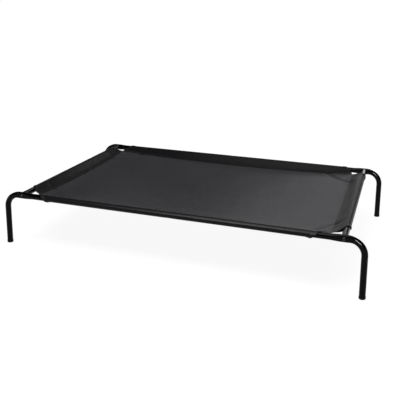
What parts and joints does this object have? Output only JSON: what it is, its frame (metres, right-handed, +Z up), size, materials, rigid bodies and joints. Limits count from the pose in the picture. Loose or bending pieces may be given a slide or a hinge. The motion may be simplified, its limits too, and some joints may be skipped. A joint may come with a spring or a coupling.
{
  "type": "raised pet cot",
  "caption": "Raised rectangular pet cot: a bolted frame of bent black steel tube on splayed legs, with a charcoal fabric sling sewn into sleeves along its rails.",
  "frame": {"origin": "on the floor, under the middle of the bed", "axes": "+X along the length of the cot, +Y towards the back side rail, +Z up"},
  "size_m": [1.3204, 0.8072, 0.2065],
  "materials": {
    "frame_tube": "black powder coat, satin gloss",
    "foot": "moulded black plastic",
    "bolt": "blackened steel",
    "nut_plug": "zinc plated",
    "bed_cloth": "charcoal woven coated cloth",
    "sleeve_cloth": "charcoal woven coated cloth"
  },
  "bodies": {
    "root": {"front_left_rail": "frame_tube", "front_right_rail": "frame_tube", "back_left_rail": "frame_tube", "back_right_rail": "frame_tube", "left_end_rail": "frame_tube", "right_end_rail": "frame_tube", "front_left_foot": "foot", "front_right_foot": "foot", "back_left_foot": "foot", "back_right_foot": "foot", "front_left_bolt": "bolt", "front_right_bolt": "bolt", "back_left_bolt": "bolt", "back_right_bolt": "bolt", "front_left_nut_plug": "nut_plug", "front_right_nut_plug": "nut_plug", "back_left_nut_plug": "nut_plug", "back_right_nut_plug": "nut_plug", "bed_panel": "bed_cloth", "front_sleeve": "sleeve_cloth", "back_sleeve": "sleeve_cloth", "left_sleeve": "sleeve_cloth", "right_sleeve": "sleeve_cloth"}
  },
  "joints": []
}
